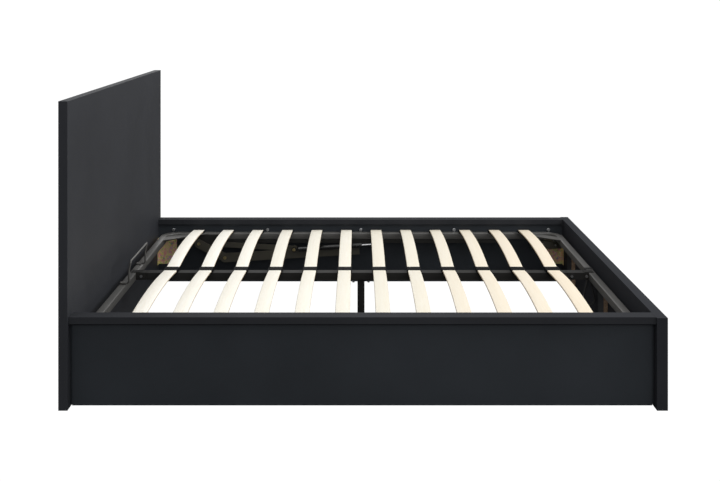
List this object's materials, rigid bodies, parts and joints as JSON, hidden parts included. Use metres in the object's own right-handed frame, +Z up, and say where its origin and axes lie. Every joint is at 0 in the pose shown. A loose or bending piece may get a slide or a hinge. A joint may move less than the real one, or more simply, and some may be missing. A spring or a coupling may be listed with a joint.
{
  "type": "lift-up storage bed",
  "caption": "Board-sided platform bed whose slatted steel frame lifts on links and gas struts to open the storage space below.",
  "frame": {"origin": "on the floor, under the middle of the bed's outline", "axes": "+Z up, +X from the headboard to the foot, +Y to the sleeper's left"},
  "size_m": [2.096, 1.64, 1.064],
  "materials": {
    "charcoal_board": "matt charcoal laminate on 25 to 38 mm board",
    "raw_board": "raw chipboard edges",
    "yellow_zinc": "yellow passivated zinc plate",
    "mechanism_steel": "satin black powder coat",
    "bright_fasteners": "bright zinc",
    "pivot_pins": "yellow zinc rivets",
    "cylinder_black": "gloss black",
    "rod_chrome": "polished",
    "frame_steel": "satin black powder coat",
    "black_plastic": "matt",
    "black_webbing": "woven webbing",
    "grey_plastic": "moulded, matt",
    "beech_slat": "pale laminated beech, satin"
  },
  "bodies": {
    "base": {"headboard": "charcoal_board", "foot_panel": "charcoal_board", "side_panel_left": "charcoal_board", "side_panel_right": "charcoal_board", "side_cap_left": "charcoal_board", "side_cap_right": "charcoal_board", "foot_battens": "raw_board", "corner_brackets": "yellow_zinc", "rest_brackets": "mechanism_steel", "rest_pads": "black_plastic", "cap_bolts": "bright_fasteners", "bracket_screws": "bright_fasteners", "mechanism_plate_left": "mechanism_steel", "mechanism_plate_right": "mechanism_steel", "base_pins": "pivot_pins"},
    "rear_links": {"rear_link_left": "mechanism_steel", "rear_link_right": "mechanism_steel"},
    "lift_frame": {"lift_rail_left": "frame_steel", "lift_rail_right": "frame_steel", "rail_pins": "pivot_pins", "frame_tube_left": "frame_steel", "frame_tube_right": "frame_steel", "centre_rail": "frame_steel", "centre_leg": "frame_steel", "leg_foot": "black_plastic", "frame_bolts": "bright_fasteners", "mattress_retainer": "frame_steel", "pull_strap": "black_webbing", "slat_holders": "grey_plastic", "slat_end_caps": "grey_plastic", "left_slat_01": "beech_slat", "left_slat_02": "beech_slat", "left_slat_03": "beech_slat", "left_slat_04": "beech_slat", "left_slat_05": "beech_slat", "left_slat_06": "beech_slat", "left_slat_07": "beech_slat", "left_slat_08": "beech_slat", "left_slat_09": "beech_slat", "left_slat_10": "beech_slat", "left_slat_11": "beech_slat", "left_slat_12": "beech_slat", "right_slat_01": "beech_slat", "right_slat_02": "beech_slat", "right_slat_03": "beech_slat", "right_slat_04": "beech_slat", "right_slat_05": "beech_slat", "right_slat_06": "beech_slat", "right_slat_07": "beech_slat", "right_slat_08": "beech_slat", "right_slat_09": "beech_slat", "right_slat_10": "beech_slat", "right_slat_11": "beech_slat", "right_slat_12": "beech_slat"},
    "front_links": {"front_link_left": "mechanism_steel", "front_link_right": "mechanism_steel"},
    "gas_cylinders": {"gas_cylinder_left": "cylinder_black", "gas_cylinder_right": "cylinder_black"},
    "gas_rods": {"gas_rod_left": "rod_chrome", "gas_rod_right": "rod_chrome"}
  },
  "joints": [
    {"name": "rear_link_hinge", "type": "hinge", "parent": "base", "child": "rear_links", "pos_m": [-0.676, 0, 0.141], "axis": [0, 1, 0], "range_deg": [0, 32.42]},
    {"name": "frame_lift", "type": "hinge", "parent": "rear_links", "child": "lift_frame", "pos_m": [-0.806, 0, 0.209], "axis": [0, -1, 0], "range_deg": [0, 67.44]},
    {"name": "front_link_hinge", "type": "hinge", "parent": "base", "child": "front_links", "pos_m": [-0.332, 0, 0.186], "axis": [0, 1, 0], "range_deg": [0, 23.3]},
    {"name": "strut_hinge", "type": "hinge", "parent": "base", "child": "gas_cylinders", "pos_m": [-0.332, 0, 0.186], "axis": [0, -1, 0], "range_deg": [0, 59.33]},
    {"name": "strut_slide", "type": "slide", "parent": "gas_cylinders", "child": "gas_rods", "axis": [0.9979, 0, 0.0644], "range_m": [0, 0.2558]}
  ],
  "couplings": [
    {"joint": "frame_lift", "follows": "rear_link_hinge", "ratio": 2.0795},
    {"joint": "front_link_hinge", "follows": "rear_link_hinge", "ratio": 0.71792},
    {"joint": "strut_hinge", "follows": "rear_link_hinge", "ratio": 1.8293},
    {"joint": "strut_slide", "follows": "rear_link_hinge", "m_per_rad": 0.45175}
  ]
}
